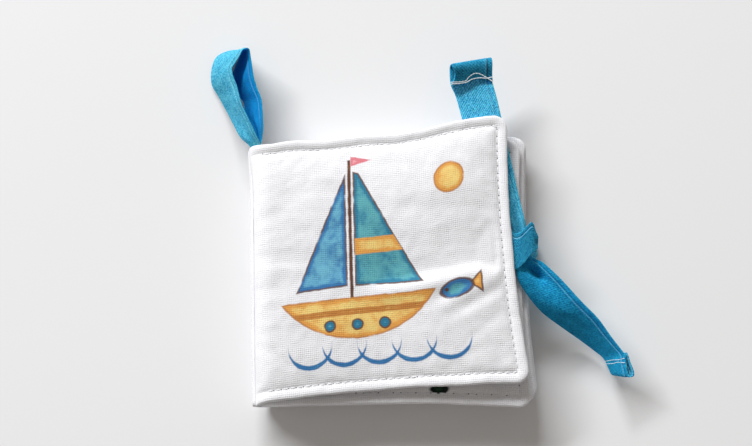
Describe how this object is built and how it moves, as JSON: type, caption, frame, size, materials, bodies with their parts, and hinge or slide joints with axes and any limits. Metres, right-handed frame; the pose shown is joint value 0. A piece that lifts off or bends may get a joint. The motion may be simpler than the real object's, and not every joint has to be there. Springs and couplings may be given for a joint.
{
  "type": "crinkle cloth book",
  "caption": "Closed soft fabric baby book with padded crinkly leaves sewn at one spine, a sewn-in carry loop and cloth ties knotted at the fore-edge.",
  "frame": {"origin": "centre of the back cover's flat underside, on which the closed book lies", "axes": "+X from the spine to the fore-edge, +Y from the tail edge to the head edge with the carry loop, +Z from the back cover to the front cover"},
  "size_m": [0.1871, 0.1603, 0.0229],
  "materials": {
    "cover_cotton": null,
    "page_cotton": "matt plain-weave cotton",
    "crinkle_film": "thin clear film that crackles",
    "wadding": "fluffy polyester wadding",
    "white_thread": "polyester sewing thread",
    "loop_cotton": "folded twill cotton with a slight sheen",
    "tie_cotton": "folded twill cotton with a slight sheen"
  },
  "bodies": {
    "back_cover": {"back_cover_outer_fabric": "cover_cotton", "back_cover_inner_fabric": "page_cotton", "back_cover_wadding": "wadding", "back_cover_crinkle_film": "crinkle_film", "back_cover_needle_thread": "white_thread", "back_cover_bobbin_thread": "white_thread", "cover_sheet_fold": "page_cotton", "middle_sheet_fold": "page_cotton", "inner_sheet_fold": "page_cotton", "spine_needle_thread": "white_thread", "spine_bobbin_thread": "white_thread", "back_tie": "tie_cotton", "back_tie_hem_thread": "white_thread"},
    "leaf_4": {"leaf_4_front_fabric": "page_cotton", "leaf_4_back_fabric": "page_cotton", "leaf_4_crinkle_film": "crinkle_film", "leaf_4_needle_thread": "white_thread", "leaf_4_bobbin_thread": "white_thread"},
    "leaf_3": {"leaf_3_front_fabric": "page_cotton", "leaf_3_back_fabric": "page_cotton", "leaf_3_crinkle_film": "crinkle_film", "leaf_3_needle_thread": "white_thread", "leaf_3_bobbin_thread": "white_thread"},
    "leaf_2": {"leaf_2_front_fabric": "page_cotton", "leaf_2_back_fabric": "page_cotton", "leaf_2_crinkle_film": "crinkle_film", "leaf_2_needle_thread": "white_thread", "leaf_2_bobbin_thread": "white_thread"},
    "leaf_1": {"leaf_1_front_fabric": "page_cotton", "leaf_1_back_fabric": "page_cotton", "leaf_1_crinkle_film": "crinkle_film", "leaf_1_needle_thread": "white_thread", "leaf_1_bobbin_thread": "white_thread"},
    "front_cover": {"front_cover_outer_fabric": "cover_cotton", "front_cover_inner_fabric": "page_cotton", "front_cover_wadding": "wadding", "front_cover_crinkle_film": "crinkle_film", "front_cover_needle_thread": "white_thread", "front_cover_bobbin_thread": "white_thread", "carry_loop": "loop_cotton", "front_tie": "tie_cotton", "front_tie_hem_thread": "white_thread"}
  },
  "joints": [
    {"name": "leaf_4_fold", "type": "hinge", "parent": "back_cover", "child": "leaf_4", "pos_m": [-0.0605, 0, 0.0098], "axis": [0, -1, 0], "range_deg": [0, 180]},
    {"name": "leaf_3_fold", "type": "hinge", "parent": "leaf_4", "child": "leaf_3", "pos_m": [-0.0605, 0, 0.0098], "axis": [0, -1, 0], "range_deg": [0, 180]},
    {"name": "leaf_2_fold", "type": "hinge", "parent": "leaf_3", "child": "leaf_2", "pos_m": [-0.0605, 0, 0.0098], "axis": [0, -1, 0], "range_deg": [0, 180]},
    {"name": "leaf_1_fold", "type": "hinge", "parent": "leaf_2", "child": "leaf_1", "pos_m": [-0.0605, 0, 0.0098], "axis": [0, -1, 0], "range_deg": [0, 180]},
    {"name": "front_cover_fold", "type": "hinge", "parent": "leaf_1", "child": "front_cover", "pos_m": [-0.0605, 0, 0.0098], "axis": [0, -1, 0], "range_deg": [0, 180]}
  ]
}
